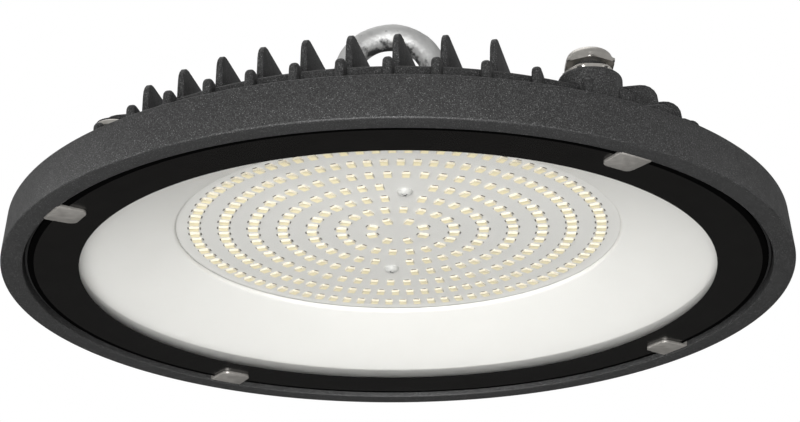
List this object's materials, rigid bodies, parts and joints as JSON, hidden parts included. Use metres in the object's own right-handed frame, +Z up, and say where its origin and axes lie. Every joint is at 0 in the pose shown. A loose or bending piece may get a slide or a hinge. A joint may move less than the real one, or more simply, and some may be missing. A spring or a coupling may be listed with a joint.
{
  "type": "high bay light",
  "caption": "Round industrial ceiling light with a finned dark housing, clipped glass front, LED rings in a white cone, a hanging eye and a cable gland.",
  "frame": {"origin": "centre of the plane through the bottom lip of the round rim", "axes": "+Z up, away from the lit face and along the hanging axis; the ring of the eye lies in the XZ plane; the cable gland is on the side of -Y and +X"},
  "size_m": [0.28, 0.28, 0.1014],
  "materials": {
    "powder_coat": "fine-texture dark grey powder coat with a light metallic fleck",
    "glass": "tempered clear glass with a black printed border",
    "black_rubber": "matt black silicone rubber",
    "white_reflector": "satin white moulding",
    "white_board": "white solder mask over an aluminium-core board",
    "thermal_pad": "grey thermal interface sheet",
    "white_screws": "white nylon",
    "nickel_plate": "nickel-plated brass, lightly brushed",
    "steel_bright": "bright stainless steel",
    "galvanised_steel": "galvanised, slightly rough",
    "green_board": "green printed circuit board",
    "ferrite": "dark grey ferrite",
    "coil_tape": "yellow winding tape",
    "capacitor_sleeve": "black shrink sleeve",
    "terminal_plastic": "green terminal block",
    "led_package": "white package with a pale yellow phosphor face",
    "clip_steel": "brushed spring steel"
  },
  "bodies": {
    "root": {"housing": "powder_coat", "front_glass": "glass", "glass_gasket": "black_rubber", "reflector": "white_reflector", "led_board": "white_board", "thermal_pad": "thermal_pad", "board_screws": "white_screws", "gland_body": "nickel_plate", "gland_o_ring": "black_rubber", "gland_cap": "nickel_plate", "gland_seal": "black_rubber", "vent_plug": "steel_bright", "vent_o_ring": "black_rubber", "driver_cover": "powder_coat", "cover_gasket": "black_rubber", "cover_screws": "steel_bright", "eye_bolt": "galvanised_steel", "eye_washer": "galvanised_steel", "eye_nut": "galvanised_steel", "driver_board": "green_board", "driver_screws": "steel_bright", "transformer_core": "ferrite", "transformer_coil": "coil_tape", "driver_capacitors": "capacitor_sleeve", "driver_choke": "ferrite", "driver_terminals": "terminal_plastic", "led_ring_1": "led_package", "led_ring_2": "led_package", "led_ring_3": "led_package", "led_ring_4": "led_package", "led_ring_5": "led_package", "led_ring_6": "led_package", "led_ring_7": "led_package", "clip_1": "clip_steel", "clip_2": "clip_steel", "clip_3": "clip_steel", "clip_4": "clip_steel"}
  },
  "joints": []
}
